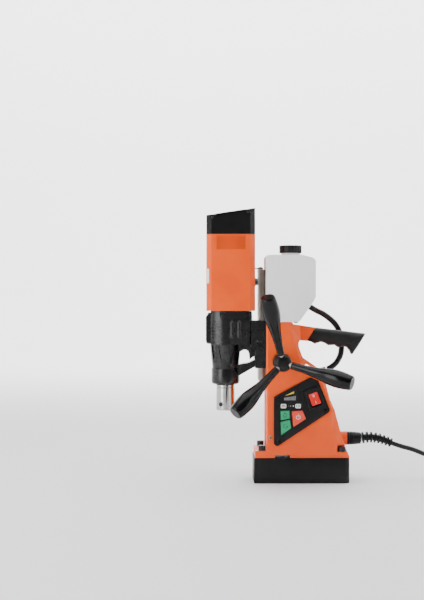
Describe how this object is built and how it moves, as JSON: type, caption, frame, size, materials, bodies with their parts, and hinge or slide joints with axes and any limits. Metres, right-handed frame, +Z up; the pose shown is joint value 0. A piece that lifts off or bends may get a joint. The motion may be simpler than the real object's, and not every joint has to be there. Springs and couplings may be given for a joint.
{
  "type": "magnetic drill press",
  "caption": "Portable drill press on an electromagnet base, with a rack-fed motor slide, a three-spoke feed wheel, a control panel, a coolant tank and a rear handle.",
  "frame": {"origin": "centre of the magnet's underside, on the surface it clamps to", "axes": "+Z up along the slide and the spindle, +X to the rear handle, -Y out of the control panel"},
  "size_m": [0.5266, 0.1943, 0.4593],
  "materials": {
    "magnet_paint": "semi-gloss paint",
    "orange_paint": "satin powder coat",
    "orange_plastic": "fine moulded texture",
    "black_casting": "satin paint over a casting",
    "black_plastic": "moulded",
    "grip_plastic": "polished",
    "rubber": "matt",
    "cord_jacket": "satin",
    "ground_steel": "ground",
    "arbor_steel": "turned",
    "black_steel": "black oxide",
    "bronze": "turned",
    "copper_winding": "enamelled",
    "resin": "cast",
    "tank_plastic": "translucent polythene",
    "red_key": "gloss",
    "green_key": "satin"
  },
  "bodies": {
    "stand": {"magnet_body": "magnet_paint", "potted_coil": "resin", "housing_bolt_1": "black_steel", "housing_bolt_2": "black_steel", "housing_bolt_3": "black_steel", "housing_bolt_4": "black_steel", "housing": "orange_paint", "handle_grip": "rubber", "gib_strip": "ground_steel", "pinion_bush_front": "bronze", "pinion_bush_rear": "bronze", "control_panel": "black_plastic", "panel_screw_1": "black_steel", "panel_screw_2": "black_steel", "panel_screw_3": "black_steel", "rocker_bezel": "black_plastic", "control_module": "resin", "coolant_tank": "tank_plastic", "tank_outlet": "black_plastic", "cord_gland": "black_plastic", "strain_relief": "rubber", "mains_cord": "cord_jacket", "mains_lead": "cord_jacket", "mains_coil": "cord_jacket", "mains_plug": "rubber", "rear_cable_gland": "black_plastic", "motor_cable": "cord_jacket"},
    "carriage": {"slide_plate": "ground_steel", "rack": "ground_steel", "motor_bracket": "black_casting", "bracket_bolt": "black_steel", "gear_housing": "black_casting", "nose_housing": "black_casting", "spindle_bearing": "ground_steel", "motor_housing": "orange_plastic", "top_cap": "black_plastic", "cap_screw_1": "black_steel", "cap_screw_2": "black_steel", "stator": "copper_winding", "motor_cable_gland": "black_plastic"},
    "feed_wheel": {"pinion_shaft": "ground_steel", "feed_hub": "black_casting", "feed_spoke_1": "black_steel", "feed_spoke_2": "black_steel", "feed_spoke_3": "black_steel", "feed_grip_1": "grip_plastic", "feed_grip_2": "grip_plastic", "feed_grip_3": "grip_plastic"},
    "spindle": {"spindle_arbor": "arbor_steel", "spindle_gear": "ground_steel", "set_screw_1": "black_steel", "set_screw_2": "black_steel"},
    "layshaft": {"layshaft": "ground_steel"},
    "armature": {"armature": "ground_steel"},
    "rocker": {"rocker": "red_key"},
    "forward_button": {"forward_button": "green_key"},
    "reverse_button": {"reverse_button": "green_key"},
    "stop_button": {"stop_button": "red_key"},
    "cap_liner": {"cap_liner": "rubber"},
    "tank_cap": {"tank_cap": "black_plastic"}
  },
  "joints": [
    {"name": "carriage_slide", "type": "slide", "parent": "stand", "child": "carriage", "axis": [0, 0, 1], "range_m": [-0.115, 0.012], "deforming": ["motor_cable"]},
    {"name": "feed_turn", "type": "hinge", "parent": "stand", "child": "feed_wheel", "pos_m": [-0.0341, 0, 0.2026], "axis": [0, 1, 0], "range_deg": [-489, 52]},
    {"name": "spindle_spin", "type": "hinge", "parent": "carriage", "child": "spindle", "pos_m": [-0.1271, 0, 0.1191], "axis": [0, 0, 1], "continuous": true},
    {"name": "layshaft_spin", "type": "hinge", "parent": "carriage", "child": "layshaft", "pos_m": [-0.10719, 0.01511, 0.24], "axis": [0, 0, 1], "continuous": true},
    {"name": "armature_spin", "type": "hinge", "parent": "carriage", "child": "armature", "pos_m": [-0.1187, 0, 0.261], "axis": [0, 0, 1], "continuous": true},
    {"name": "rocker_tilt", "type": "hinge", "parent": "stand", "child": "rocker", "pos_m": [0.0207, -0.041, 0.1407], "axis": [0.9426, 0, 0.3338], "range_deg": [0, 16]},
    {"name": "forward_press", "type": "slide", "parent": "stand", "child": "forward_button", "axis": [0, 1, 0], "range_m": [0, 0.0008], "stiffness_N_per_m": 1500, "springref_m": -0.001},
    {"name": "reverse_press", "type": "slide", "parent": "stand", "child": "reverse_button", "axis": [0, 1, 0], "range_m": [0, 0.0008], "stiffness_N_per_m": 1500, "springref_m": -0.001},
    {"name": "stop_press", "type": "slide", "parent": "stand", "child": "stop_button", "axis": [0, 1, 0], "range_m": [0, 0.0008], "stiffness_N_per_m": 1500, "springref_m": -0.001},
    {"name": "cap_lift", "type": "slide", "parent": "stand", "child": "cap_liner", "axis": [0, 0, 1], "range_m": [0, 0.03]},
    {"name": "cap_turn", "type": "hinge", "parent": "cap_liner", "child": "tank_cap", "pos_m": [-0.0167, 0, 0.385], "axis": [0, 0, 1], "continuous": true}
  ],
  "couplings": [
    {"joint": "feed_turn", "follows": "carriage_slide", "rad_per_m": 74.074},
    {"joint": "layshaft_spin", "follows": "spindle_spin", "ratio": -2.3333},
    {"joint": "armature_spin", "follows": "spindle_spin", "ratio": 6.5333}
  ]
}
